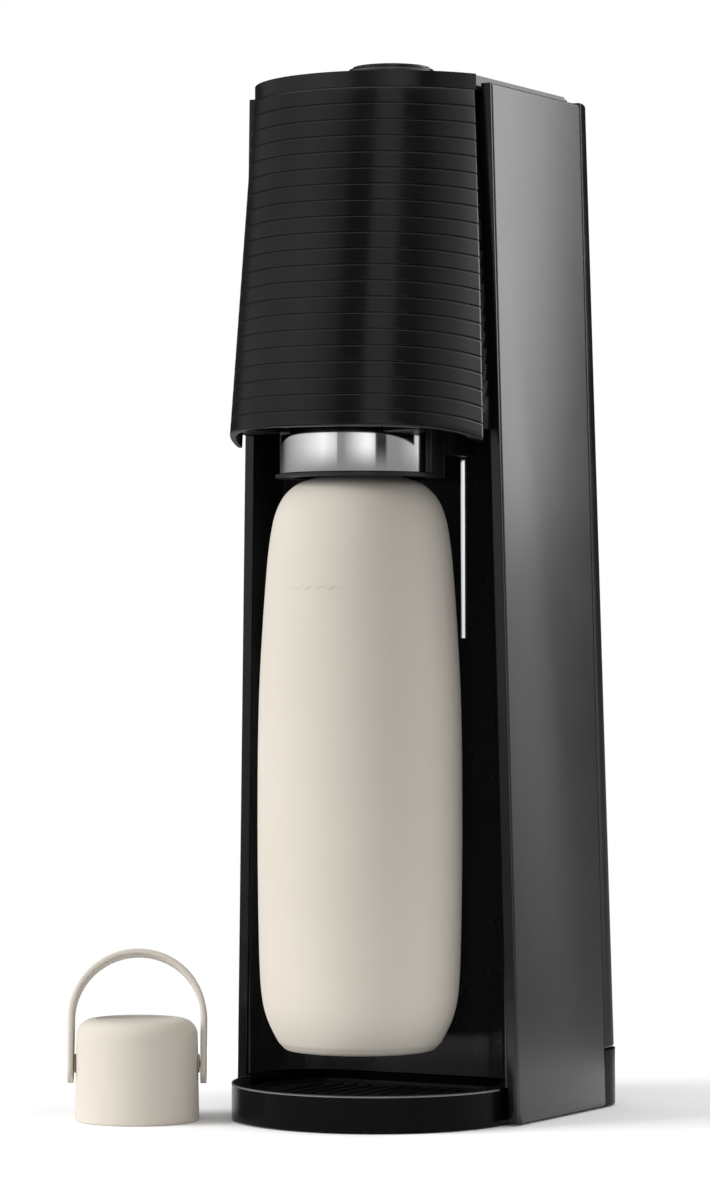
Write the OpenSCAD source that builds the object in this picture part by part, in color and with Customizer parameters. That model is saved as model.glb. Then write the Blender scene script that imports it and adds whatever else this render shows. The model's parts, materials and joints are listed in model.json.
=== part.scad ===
// Soda carbonator with a tilting bottle holder, a gas cylinder bay and a loose bottle cap.
// The origin is on the worktop, straight below the bottle's axis. +X right, +Y back, +Z up.

/* [Body] */
// Half of the width over the side panels, at the worktop
body_half_w = 65.4; // [64.5:0.1:66.5]
// Lean of each side panel towards the middle, in degrees
side_lean = 1.29; // [1.1:0.01:1.45]
// Thickness of a side panel
panel_t = 4.2; // [3.6:0.1:4.6]
// Height of the side panels' top edge
panel_top = 418.5; // [416:0.5:419]
// Lower front edge of a side panel, behind the bottle's axis
panel_front = 12.5; // [11:0.5:13]
// Upper front edge of a side panel, behind the bottle's axis
panel_front_top = 6.5; // [5:0.5:8]

/* [Base] */
// Radius of the round front of the base
base_r = 58.3; // [57:0.1:59]
// Centre of that round front, behind the bottle's axis
base_y = 12.3; // [11:0.1:13]
// Height of the base's front rim
base_h = 15; // [14.5:0.5:16]
// Height of the base behind the cylinder
base_rear_h = 24; // [23:0.5:25]

/* [Head] */
// Height of the head cover's lower edge
head_z = 279.5; // [279:0.5:281]
// Radius of the head's round front at its lower edge
head_r = 59.2; // [58.5:0.1:59.8]
// Centre of that round front, behind the bottle's axis
head_y = 12.5; // [12:0.1:13.5]
// Radius of the head's round front at the top
head_r_top = 56; // [55:0.1:56.5]
// Centre of the round front at the top
head_y_top = 26.5; // [26:0.1:27]
// Height of the head's top face
head_top = 421.8; // [421:0.2:423]
// Number of ribs around the head cover
rib_count = 22; // [18:1:24]

/* [Button] */
// Radius of the carbonation button
button_r = 18.8; // [17:0.1:19]
// Height of the button's top face
button_top = 430; // [428:0.5:430]
// Travel of the button
button_travel = 5; // [3:0.5:5]

/* [Bottle] */
// Largest radius of the bottle
bottle_r = 41.5; // [40:0.1:41.5]
// Height of the bottle's foot
bottle_z = 29; // [29:0.5:30]
// Wall of the bottle
bottle_wall = 1.4; // [1.2:0.1:2]

/* [Gas cylinder] */
// Radius of the gas cylinder
cyl_r = 30; // [28:0.5:30]
// Axis of the gas cylinder, behind the bottle's axis
cyl_y = 81; // [81:0.5:81.5]

/* [Cap] */
// Radius of the loose cap
cap_r = 25.2; // [24:0.1:26]
// Height of the loose cap
cap_h = 42; // [40:0.5:46]
// Turn of the cap's carrying handle about its axis, in degrees
cap_turn = 29; // [0:1:45]

/* [Hidden] */
$fn = 96;
slack = 0.4;                       // space between pieces that meet
lean = tan(side_lean);
skin = 2.5;                        // wall of the plastic covers
panel_z0 = 1.2;
panel_rear = 93.6;
panel_rear_top = 88;
front_lean = (panel_front - panel_front_top) / panel_top;
head_h = head_top - head_z;
rib_h = head_h / rib_count;
cover_edge = -1;                   // rear edge of the ribbed cover, at its foot
cover_edge_top = 3.7;              // and at its top
top_z = head_top - rib_h + 0.2;
plate_rear = 88;                   // rear edge of the top plate
holder_hole_r = 35;
base_low = 0.8;                      // lower edge of the base
rear_y = 122.5;                    // back of the machine at the base
rear_y_top = 112.5;
rear_corner = 25;                  // of the rear cover at its foot
rear_corner_top = 24;
cover_z = base_rear_h + 0.5;
cover_top = 419.5;
frame_z = base_h + 0.4;
frame_top = 282;
bay_y = 47;                        // back wall of the bottle bay
bay_corner = 30;
bay_wall = 3;
tray_r = 51;
tray_z = 5;
tray_top = 12;
grid_pitch = 7;
grid_slots = 5;                    // slots on each side of the middle one
pivot_y = 30;                      // holder's pivot
pivot_z = 290;
pin_r = 2;
run_fit = 0.05;                    // radial clearance of a pin in its bore
holder_r = 32;
collar_r = 32.7;
collar_z = 262.2;
collar_top = 283;
collar_half = 86;                  // half of the collar's wrap, in degrees
mouth_r = 12;
mouth_z = 281;
deck_z = 384;
deck_t = 3.5;
rocker_z = 393.3;
rocker_y = 100;
rocker_pin_z = 396.6;
rocker_t = 6;
stem_r = 5;
stem_z = rocker_z + rocker_t + 0.3;
guide_z = 404;
valve_top = 370.6;
cyl_z = 24.8;
lever_y = 64;
lever_z = 377;
latch_z = 402.6;
cap_x = -82;
cap_y = -39;
bail_z = 23;
bail_r = 28.2;
bow_z = 41.4;                       // centre of the handle's bow while upright
bail_lean = 14;                     // how far the handle leans back, in degrees

black = [0.04, 0.04, 0.045];
dark = [0.12, 0.12, 0.13];
cream = [0.83, 0.80, 0.74];
chrome = [0.85, 0.86, 0.88];
brass = [0.75, 0.6, 0.3];
steel = [0.65, 0.66, 0.68];
rubber = [0.06, 0.06, 0.06];
grey = [0.35, 0.36, 0.38];

// Half of the width at height z, a given distance inside the panels' outer faces.
function half_w(z, inset) = body_half_w - inset - z * lean;

// The space between two planes that follow the side panels.
module between(inset, z0, z1, y0 = -60, y1 = 140)
    translate([0, y1, 0]) rotate([90, 0, 0]) linear_extrude(y1 - y0)
        polygon([[-half_w(z0, inset), z0], [half_w(z0, inset), z0],
                 [half_w(z1, inset), z1], [-half_w(z1, inset), z1]]);

// A prism across the whole width, drawn as [y, z] points.
module across(points, w = 70)
    translate([-w, 0, 0]) rotate([90, 0, 90]) linear_extrude(2 * w) polygon(points);

module block(lo, hi) translate(lo) cube(hi - lo);

module ring(r_out, r_in, z0, z1, at = [0, 0])
    translate([at.x, at.y, z0]) difference() {
        cylinder(h = z1 - z0, r = r_out);
        translate([0, 0, -1]) cylinder(h = z1 - z0 + 2, r = r_in);
    }

module rod_x(r, x0, x1, y, z) translate([x0, y, z]) rotate([0, 90, 0]) cylinder(h = x1 - x0, r = r);

// A plan with two round corners at the back.
module rear_plan(w, y0, y1, r) intersection() {
    translate([-w, y0]) square([2 * w, y1 - y0]);
    union() {
        translate([-w, y0]) square([2 * w, max(0.01, y1 - y0 - r)]);
        translate([-(w - r), y0]) square([2 * (w - r), y1 - y0]);
        for (side = [-1, 1]) translate([side * (w - r), y1 - r]) circle(r);
    }
}

module bay_plan(grow) {
    w = half_w(0, panel_t + slack + skin) + 1;
    translate([-w - grow, -80]) square([2 * (w + grow), 80 + bay_y - bay_corner]);
    translate([-(w - bay_corner), -80]) square([2 * (w - bay_corner), 80 + bay_y + grow]);
    for (side = [-1, 1]) translate([side * (w - bay_corner), bay_y - bay_corner])
        circle(bay_corner + grow);
}

// Plan of the drip tray: round at the front, and inside the bay's walls at the back.
module tray_plan(r, inside) intersection() {
    translate([0, base_y]) circle(r);
    bay_plan(-inside);
}

foot_places = [[-34, -18], [34, -18], [-42, 98], [42, 98], [0, 0]];
base_screw_places = [[-46, 52], [46, 52], [0, 114]];

// ---- Base ----

// Outline of the plate that closes the base from below.
module bottom_plan(grow) {
    translate([0, base_y]) circle(base_r - 1.5 + grow);
    translate([-56.5 - grow, base_y]) square([113 + 2 * grow, 80]);
    rear_plan(61 + grow, 85 - grow, rear_y - 2 + grow, rear_corner - 3);
}

module base_shell() color(black) difference() {
    union() {
        translate([0, base_y, base_low]) cylinder(h = base_h - base_low, r = base_r);
        block([-base_r, base_y, base_low], [base_r, 92, base_h]);
        difference() {
            translate([0, 0, base_low]) linear_extrude(base_rear_h - base_low)
                rear_plan(64.6, panel_rear + slack, rear_y, rear_corner - 1);
            translate([0, 0, base_h]) linear_extrude(20)
                rear_plan(61, 60, rear_y - skin, rear_corner - 3);
        }
    }
    translate([0, 0, base_low - 1]) linear_extrude(4 - base_low) bottom_plan(slack);
    translate([0, 0, tray_z]) linear_extrude(20) tray_plan(tray_r + slack, slack);
    for (p = base_screw_places) translate([p.x, p.y, 0]) cylinder(h = 9, r = 1.6);
}

module base_bottom_plate() color(dark) difference() {
    translate([0, 0, 1]) linear_extrude(1.9) difference() {
        bottom_plan(0);
        for (p = foot_places) translate(p) circle(7.1);
        for (p = base_screw_places) translate(p) circle(1.7);
    }
}

module rubber_feet() color(rubber) for (p = foot_places) translate([p.x, p.y, 0]) {
    cylinder(h = 2.9, r = 7);
}

module base_screws() color(steel) for (p = base_screw_places) translate([p.x, p.y, 0.4]) {
    cylinder(h = 0.6, r = 3);
    cylinder(h = 7.6, r = 1.5);
}

module drip_tray() color(black) difference() {
    translate([0, 0, tray_z + 0.3]) linear_extrude(tray_top - tray_z - 0.3) tray_plan(tray_r, 2 * slack);
    translate([0, 0, tray_z + 1.8]) linear_extrude(20) tray_plan(tray_r - 2, 2 * slack + 2);
    translate([0, base_y - tray_r - 3, tray_top + 3]) sphere(r = 7);
}

module drip_grid() color(dark) translate([0, 0, tray_top - 3.2]) linear_extrude(2) difference() {
    tray_plan(tray_r - 2.4, 2 * slack + 2.4);
    for (i = [-grid_slots:grid_slots]) {
        x = i * grid_pitch;
        reach = sqrt(pow(tray_r - 8, 2) - pow(abs(x) + 1.5, 2));
        translate([x - 1.5, base_y - reach]) square([3, reach + min(reach, bay_y - base_y - 8)]);
    }
}

// ---- Column ----

module right_side_panel() color(dark)
    translate([body_half_w, 0, 0]) rotate([0, -side_lean, 0]) translate([-panel_t, 0, 0])
        rotate([90, 0, 90]) linear_extrude(panel_t)
            difference() {
                polygon([[panel_front + 2.5, panel_z0], [panel_rear, panel_z0],
                         [panel_rear_top, panel_top - 2], [panel_rear_top - 2, panel_top],
                         [panel_front_top, panel_top], [panel_front, panel_z0 + 4]]);
            }

module left_side_panel() mirror([1, 0, 0]) right_side_panel();

module column_frame() color(black) intersection() {
    between(panel_t + slack, 0, 300);
    across([[panel_front + 0.6, frame_z], [panel_rear - 0.8, frame_z],
            [panel_rear - 1.6, frame_top], [panel_front + 0.6 - front_lean * frame_top, frame_top]]);
    difference() {
        translate([0, 0, frame_z]) linear_extrude(frame_top - frame_z) union() {
            bay_plan(bay_wall);
            translate([-62, 20]) square([124, 80]);
        }
        translate([0, 0, -1]) linear_extrude(400) bay_plan(0);
        intersection() {
            between(panel_t + slack + skin, 0, 300);
            translate([0, 0, -1]) linear_extrude(400) difference() {
                translate([-62, 10]) square([124, 100]);
                bay_plan(bay_wall);
            }
        }
    }
}

module head_frame() color(dark) {
    difference() {
        intersection() {
            between(panel_t + slack, 200, 430);
            across([[panel_front_top + 5, frame_top + 0.3], [panel_rear - 2.2, frame_top + 0.3],
                    [panel_rear_top - 1, 413.5], [panel_front_top + 5, 413.5]]);
        }
        between(panel_t + slack + 3, 200, 430);
    }
    intersection() {
        between(panel_t + slack, 200, 430);
        union() {
            // floor, with a slot through which the cylinder leaves at the back
            difference() {
                block([-60, 47, frame_top + 0.3], [60, 90, frame_top + 3.8]);
                for (side = [-1, 1]) translate([side * 44, 68, 280]) cylinder(h = 10, r = 1.55);
                translate([0, cyl_y, 200]) cylinder(h = 100, r = cyl_r + 2);
                block([-cyl_r - 2, cyl_y, 200], [cyl_r + 2, 120, 300]);
            }
            // deck that carries the valve, with a hole for its plunger
            difference() {
                union() {
                    block([-60, 50, deck_z], [60, 57, deck_z + deck_t]);
                    block([-20, 50, deck_z], [20, 92, deck_z + deck_t]);
                }
                translate([0, cyl_y, deck_z - 1]) cylinder(h = 10, r = 3.6);
                for (x = [-11, 11]) translate([x, cyl_y, deck_z - 1]) cylinder(h = 10, r = 1.6);
            }
            // crossbar that carries the button's guide
            difference() {
                block([-60, 12, guide_z - 3.2], [60, 41, guide_z - 0.2]);
                translate([0, head_y_top, guide_z - 5]) cylinder(h = 10, r = 8);
            }
        }
    }
    // ears of the holder's pivot
    for (side = [-1, 1]) difference() {
        block([side * 40 - 2, 23, frame_top + 0.3], [side * 40 + 2, 50, 297]);
        rod_x(pin_r + run_fit, side * 40 - 3, side * 40 + 3, pivot_y, pivot_z);
    }
    // ears of the rocker's pin
    for (side = [-1, 1]) difference() {
        union() {
            block([side * 10.5 - 1.8, 84.5, deck_z + 3], [side * 10.5 + 1.8, 104, deck_z + 9]);
            block([side * 10.5 - 1.8, 95, deck_z + 3], [side * 10.5 + 1.8, 104, 400.5]);
        }
        rod_x(pin_r, side * 10.5 - 3, side * 10.5 + 3, rocker_y, rocker_pin_z);
    }
    // ear of the cylinder lever's pin
    difference() {
        block([14, 59, 372.5], [20, 68.6, deck_z + 1]);
        rod_x(pin_r + run_fit, 10, 30, lever_y, lever_z);
    }
}

module frame_screws() color(steel) for (side = [-1, 1])
    translate([side * 44, 68, frame_top + 3.8]) {
        cylinder(h = 2, r = 3);
        translate([0, 0, -3]) cylinder(h = 3.2, r = 1.5);
    }

// ---- Head ----

// Plan of the head a share t of the way up, inset by a wall and cut off behind an edge.
module head_plan(t, inset, edge) {
    r = head_r + (head_r_top - head_r) * t - inset;
    y = head_y + (head_y_top - head_y) * t;
    intersection() {
        translate([0, y]) circle(r);
        translate([-70, -60]) square([140, 60 + edge]);
    }
}

// One band of the head for each rib, each a little inside the one below it.
module head_bands(inset, wall, front, edge, edge_top, count)
    for (i = [0:count - 1]) translate([0, 0, head_z + i * rib_h])
        linear_extrude(rib_h + (i < count - 1 ? 0.01 : 0)) {
            t = i / rib_count;
            difference() {
                head_plan(t, inset, edge + (edge_top - edge) * t);
                head_plan(t, inset + wall, 60);
                if (front > -50) translate([-70, -70]) square([140, 70 + front]);
            }
        }

module head_cover() color(black)
    head_bands(0, skin, -60, cover_edge, cover_edge_top, rib_count - 1);

module head_side_liners() color(black)
    head_bands(skin + slack, 1.6, -16, panel_front - front_lean * head_z - 0.6,
               panel_front_top - 0.8, rib_count - 1);

module head_underside() color(black) translate([0, 0, head_z + 0.3]) linear_extrude(2.2) difference() {
    head_plan(0, skin + slack + 1.9, 5);
    circle(holder_hole_r);
    translate([-holder_hole_r, -60]) square([2 * holder_hole_r, 60]);
}

// Outline of the top: the head's round front, then straight sides between the panels.
module top_plan(inset) {
    w = half_w(panel_top, panel_t + 1.5 + inset);
    front = head_y_top - sqrt(pow(head_r_top - inset, 2) - w * w);
    head_plan(1, inset, front + 0.1);
    translate([-w, front]) square([2 * w, plate_rear - inset - front]);
}

module top_plate() color(black) difference() {
    union() {
        translate([0, 0, top_z]) linear_extrude(head_top - top_z)
            head_plan(1, 0, cover_edge_top);
        translate([0, 0, top_z]) linear_extrude(head_top - top_z - 1) top_plan(0.2);
        translate([0, 0, head_top - 2]) linear_extrude(2) top_plan(1);
    }
    translate([0, head_y_top, 400]) cylinder(h = 40, r = button_r + 0.5);
    translate([0, 0, 400]) linear_extrude(head_top - 400 - 3) difference() {
        top_plan(3);
        translate([0, head_y_top]) circle(button_r + 3);
    }
}

// ---- Button and valve ----

module button_guide() color(dark) translate([0, head_y_top, 0]) {
    ring(button_r - 1.2, stem_r + 0.08, guide_z, guide_z + 2.5);
    ring(button_r - 1.2, button_r - 3, guide_z + 2.4, 412.6);
}

module carbonation_button() color(black) translate([0, head_y_top, 0]) {
    translate([0, 0, button_top - 7]) cylinder(h = 6, r = button_r - 1.4);
    translate([0, 0, button_top - 1.2]) cylinder(h = 1.2, r = button_r - 3);
    ring(button_r - 3.4, button_r - 5, 418, button_top - 6.9);
    translate([0, 0, stem_z]) cylinder(h = button_top - 6.9 - stem_z, r = stem_r);
}

module button_cap_ring() color(dark) translate([0, head_y_top, 0])
    ring(button_r, button_r - 1.3, button_top - 9, button_top - 1.8);

// A coil of round wire between two heights.
module coil(r, wire, z0, z1, turns, sides = 8, steps = 14) {
    count = turns * steps;
    points = [for (i = [0:count], j = [0:sides - 1])
        let (a = 360 * i / steps, b = 360 * j / sides, rr = r + wire * cos(b))
        [rr * cos(a), rr * sin(a), z0 + wire + (z1 - z0 - 2 * wire) * i / count + wire * sin(b)]];
    walls = [for (i = [0:count - 1], j = [0:sides - 1])
        [i * sides + j, i * sides + (j + 1) % sides,
         (i + 1) * sides + (j + 1) % sides, (i + 1) * sides + j]];
    ends = [[for (j = [sides - 1:-1:0]) j], [for (j = [0:sides - 1]) count * sides + j]];
    polyhedron(points, [for (f = concat(walls, ends)) [for (k = [len(f) - 1:-1:0]) f[k]]]);
}

module button_spring() color(steel) translate([0, head_y_top, 0])
    coil(8, 0.6, guide_z + 2.6, button_top - 7.2, 5);

module rocker_lever() color(grey) difference() {
    union() {
        block([-6, 20, rocker_z], [6, 80, rocker_z + rocker_t]);
        block([-8, 78, rocker_z], [8, 103, rocker_z + rocker_t]);
        translate([0, head_y_top, rocker_z]) cylinder(h = rocker_t, r = 8);
    }
    rod_x(pin_r + run_fit, -10, 10, rocker_y, rocker_pin_z);
}

module rocker_pin() color(steel) rod_x(pin_r, -13, 13, rocker_y, rocker_pin_z);

module valve_plunger() color(brass) translate([0, cyl_y, 0]) {
    translate([0, 0, 386.5]) cylinder(h = rocker_z - 0.5 - 386.5, r = 2.9);
    translate([0, 0, 373]) cylinder(h = 14, r = 2.2);
}

module valve_block() color(steel) difference() {
    block([-15, cyl_y - 12, valve_top + 0.4], [15, cyl_y + 14, deck_z - 0.1]);
    translate([0, cyl_y, 360]) cylinder(h = 40, r = 2.3);
    for (x = [-11, 11]) translate([x, cyl_y, deck_z - 8]) cylinder(h = 10, r = 1.55);
}

module valve_screws() color(steel) for (x = [-11, 11]) translate([x, cyl_y, 0]) {
    translate([0, 0, deck_z - 7]) cylinder(h = 7 + deck_t, r = 1.5);
    translate([0, 0, deck_z + deck_t]) cylinder(h = 1.4, r = 2);
}

module relief_valve() color(brass) translate([0, cyl_y - 12, 377]) rotate([90, 0, 0]) {
    cylinder(h = 4, r = 3.4);
    cylinder(h = 7, r = 2.4);
}

hose_route = [[-9, 69, 376], [-9, 63, 376], [-13, 57, 373], [-20, 51, 364], [-28, 46, 351],
              [-35, 42, 337], [-40, 38, 324], [-44, 34, 313], [-45.7, 30.3, 305], [-45.7, 30, 302],
              [-45.7, 30, 296]];

// A round tube swept along a route, with one ring of points at each place.
module tube_along(route, r, sides = 10) {
    last = len(route) - 1;
    dirs = [for (i = [0:last]) let (d = route[min(i + 1, last)] - route[max(i - 1, 0)]) d / norm(d)];
    points = [for (i = [0:last], j = [0:sides - 1])
        let (u = cross(dirs[i], [1, 0, 0]), a = u / norm(u), b = cross(dirs[i], a))
        route[i] + r * (cos(360 * j / sides) * a + sin(360 * j / sides) * b)];
    walls = [for (i = [0:last - 1], j = [0:sides - 1])
        [i * sides + j, i * sides + (j + 1) % sides,
         (i + 1) * sides + (j + 1) % sides, (i + 1) * sides + j]];
    ends = [[for (j = [sides - 1:-1:0]) j], [for (j = [0:sides - 1]) last * sides + j]];
    polyhedron(points, [for (f = concat(walls, ends)) [for (k = [len(f) - 1:-1:0]) f[k]]]);
}

module gas_hose() color(grey) tube_along(hose_route, 2.2);

module hose_nuts() color(brass) {
    translate([-9, 69, 376]) rotate([90, 0, 0]) ring(3.6, 2.6, 0, 5);
    translate([-45.7, 30, 0]) {
        ring(3.6, 2.6, 296, 301);
        translate([0, 0, 290]) cylinder(h = 6, r = 3.5);
    }
    rod_x(4.2, -49, -42.3, 30, 290);
}

// ---- Gas cylinder ----

module cylinder_lever() color(grey) difference() {
    union() {
        rod_x(5, 24, 28, lever_y, lever_z);
        block([24, lever_y, lever_z - 3], [28, 104, lever_z + 3]);
        block([17.5, 96, lever_z - 3], [30, 104, lever_z + 3]);
    }
    rod_x(pin_r, 20, 30, lever_y, lever_z);
}

module cylinder_lever_pin() color(steel) rod_x(pin_r, 13, 28.5, lever_y, lever_z);

// Section of the cylinder's outside, or of its inside where wall is the metal's thickness.
function cylinder_section(wall) = concat([[0, cyl_z + wall], [cyl_r - 4, cyl_z + wall],
                                          [cyl_r - wall, cyl_z + 4 + wall / 2]],
    [for (a = [0:10:80]) [12 + (cyl_r - 12 - wall) * cos(a), 318 + (26 - wall) * sin(a)]]);

module gas_cylinder() color(steel) translate([0, cyl_y, 0]) rotate_extrude() difference() {
    polygon(concat(cylinder_section(0), [[12, 344], [12, 350], [0, 350]]));
    polygon(concat(cylinder_section(3.2), [[4, 342], [4, 351], [0, 351]]));
}

module cylinder_valve() color(brass) translate([0, cyl_y, 0]) {
    translate([0, 0, 350]) cylinder(h = 12, r = 10);
    translate([0, 0, 362]) cylinder(h = valve_top - 362, r = 7);
}

module cylinder_seat() color(rubber) ring(cyl_r - 4, 12, base_h + 0.1, cyl_z - 0.4, [0, cyl_y]);

module rear_shell(inset) hull() {
    translate([0, 0, cover_z - (inset > 0 ? 2 : 0)]) linear_extrude(1)
        rear_plan(64.4 - inset, 60, rear_y - 0.2 - inset, rear_corner - inset, $fn = 40);
    translate([0, 0, cover_top - inset - 1]) linear_extrude(1)
        rear_plan(half_w(cover_top, 0.5) - inset, 60, rear_y_top - inset, rear_corner_top - inset, $fn = 40);
}

module rear_cover() color(black) difference() {
    rear_shell(0);
    rear_shell(skin);
    across([[50, 0], [panel_rear + 0.5, 0], [panel_rear_top + 0.6, 430], [50, 430]], 80);
    block([-8.4, rear_y_top - 12, latch_z - 0.4], [8.4, 130, latch_z + 8.4]);
}

module cover_latch() color(dark) {
    block([-8, rear_y_top - 8, latch_z], [8, rear_y_top - 0.4, latch_z + 8]);
    block([-11, rear_y_top - 8, latch_z], [11, rear_y_top - 5, latch_z + 8]);
}

// ---- Bottle holder ----

module holder_sector(r, half, z0, z1, n = 12) {
    far = 3 * r;
    translate([0, 0, z0]) linear_extrude(z1 - z0) polygon(concat([[0, 0]],
        [for (i = [-n:n]) far * [sin(half * i / n), -cos(half * i / n)]]));
}

module bottle_holder() color(dark) difference() {
    union() {
        difference() {
            ring(34.3, 27, collar_z - 1.5, collar_top - 1);
            holder_sector(20, collar_half + 0.5, collar_z - 0.2, collar_top + 5);
        }
        ring(holder_r, 27, collar_z - 0.2, collar_top - 1);
        ring(holder_r, mouth_r + 3.5, collar_top - 8, collar_top - 1);
        translate([0, 0, collar_top - 1.5]) cylinder(h = 6, r = 18);
        // arms that reach back to the pivot
        for (side = [-1, 1]) block([side * 31 - 4, 12, 270], [side * 31 + 4, 34, 286]);
        for (side = [-1, 1]) rod_x(5.5, side * 31.5 - 4.5, side * 31.5 + 4.5, pivot_y, pivot_z);
        for (side = [-1, 1])
            block([side * 31.5 - 4.5, pivot_y - 5.5, 280], [side * 31.5 + 4.5, 35.5, pivot_z]);
    }
    translate([0, 0, collar_z - 3]) cylinder(h = mouth_z + 2.6 - collar_z + 3, r = mouth_r + 3.5);
    translate([0, 0, collar_z - 3]) cylinder(h = collar_top - 8 - collar_z + 3, r = 27);
    cylinder(h = 400, r = 3.1);
    rod_x(pin_r, -50, 50, pivot_y, pivot_z);
}

module collar_trim() color(chrome) intersection() {
    ring(collar_r, holder_r + 0.02, collar_z, collar_top);
    holder_sector(20, collar_half, collar_z - 1, collar_top + 1);
}

module holder_pivot_pin() color(steel) rod_x(pin_r, -41.9, 41.9, pivot_y, pivot_z);

module bottle_seal() color(rubber) ring(mouth_r + 3.3, 4, mouth_z + 0.3, mouth_z + 2.5);

module nozzle_tube() color(steel) ring(3, 1.6, 150, 288);

module nozzle_tip() color(grey) ring(3.4, 1, 144, 150);

// ---- Bottle ----

// Outer radius of the bottle at its main heights, from the foot to the neck.
function bottle_points(wall) = [
    [30 - wall, bottle_z + wall], [33.4 - wall, 33.2 + wall / 2], [37.4 - wall, 41.3], [39.6 - wall, 49.4],
    [40.6 - wall, 62], [bottle_r - 0.3 - wall, 86], [bottle_r - wall, 120], [bottle_r - 0.2 - wall, 155],
    [40.6 - wall, 180], [39 - wall, 206], [37.2 - wall, 228], [35.6 - wall, 240], [33.6 - wall, 248],
    [31.4 - wall, 252.5], [28.4 - wall, 256], [24.4 - wall, 258.6 - wall / 2],
    [17.4 - wall, 260.8 - wall / 2], [14.6 - wall, 262 - wall / 2]];

module bottle_shell() color(cream) rotate_extrude()
    difference() {
        polygon(concat([[0, bottle_z + 1.4], [22, bottle_z + 1.4], [25, bottle_z]], bottle_points(0),
            [[14.6, 264], [13.6, 264], [13.6, mouth_z], [0, mouth_z]]));
        polygon(concat([[0, bottle_z + 3.2], [22, bottle_z + 3.2]], bottle_points(bottle_wall),
            [[mouth_r - 0.2, 264], [mouth_r - 0.2, mouth_z + 1], [0, mouth_z + 1]]));
    }

module bottle_neck_ring() color(steel) ring(14.9, 13.65, 266, 274);

// ---- Loose cap with its carrying handle ----

module at_cap() translate([cap_x, cap_y, 0]) rotate([0, 0, cap_turn]) children();

module cap_shell() color(cream) at_cap() difference() {
    rotate_extrude() polygon(concat([[0, 0], [cap_r - 1.5, 0], [cap_r - 0.4, 0.7], [cap_r, 2]],
        [for (a = [0:15:90]) [cap_r - 7.4 + 6.8 * cos(a), cap_h - 7.2 + 6.8 * sin(a)]],
        [[cap_r - 9, cap_h - 0.4], [0, cap_h - 1]]));
    translate([0, 0, -1]) cylinder(h = 31, r = cap_r - 3);
    rod_x(1.55, -30, 30, 0, bail_z);
}

module cap_plug() color(dark) at_cap() difference() {
    union() {
        translate([0, 0, 27]) cylinder(h = 3, r = cap_r - 3.2);
        ring(18.2, 16.4, 2, 28);
        ring(11.4, 9.4, 12, 28);
    }
}

module cap_seal() color(rubber) at_cap() ring(15.8, 11.8, 24.8, 27);

// Leans the handle back about its pins.
module leaning() translate([0, 0, bail_z]) rotate([-bail_lean, 0, 0]) translate([0, 0, -bail_z]) children();

module bail_handle() color(cream) at_cap() leaning() difference() {
    union() {
        translate([0, 0, bow_z]) intersection() {
            translate([0, 5, 0]) rotate([90, 0, 0]) difference() {
                cylinder(h = 10, r = bail_r);
                translate([0, 0, -1]) cylinder(h = 12, r = bail_r - 2.4);
            }
            block([-40, -10, 0], [40, 10, 40]);
        }
        for (side = [-1, 1]) block([side * (bail_r - 1.2) - 1.2, -5, bail_z - 3],
                                   [side * (bail_r - 1.2) + 1.2, 5, bow_z + 0.1]);
        for (side = [-1, 1])
            rod_x(5, side * (bail_r - 1.2) - 1.2, side * (bail_r - 1.2) + 1.2, 0, bail_z - 3);
    }
    rod_x(1.6, 0.8 - bail_r, bail_r - 0.8, 0, bail_z);
}

// Each pivot is a pin with a round pad that keeps the arm off the cap.
module bail_pins() color(steel) at_cap() for (side = [-1, 1]) {
    rod_x(1.5, side * 24.65 - 2.45, side * 24.65 + 2.45, 0, bail_z);
    rod_x(3.8, side * 25.15 - 0.25, side * 25.15 + 0.25, 0, bail_z);
}

base_shell();
base_bottom_plate();
rubber_feet();
base_screws();
drip_tray();
drip_grid();
left_side_panel();
right_side_panel();
column_frame();
head_frame();
frame_screws();
head_cover();
head_side_liners();
head_underside();
top_plate();
button_guide();
carbonation_button();
button_cap_ring();
button_spring();
rocker_lever();
rocker_pin();
valve_plunger();
valve_block();
valve_screws();
relief_valve();
gas_hose();
hose_nuts();
cylinder_lever();
cylinder_lever_pin();
gas_cylinder();
cylinder_valve();
cylinder_seat();
rear_cover();
cover_latch();
bottle_holder();
collar_trim();
holder_pivot_pin();
bottle_seal();
nozzle_tube();
nozzle_tip();
bottle_shell();
bottle_neck_ring();
cap_shell();
cap_plug();
cap_seal();
bail_handle();
bail_pins();
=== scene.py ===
"""Soda carbonator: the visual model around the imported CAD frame. Metres, +Z up, the front faces -Y."""

import json
import math

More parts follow.
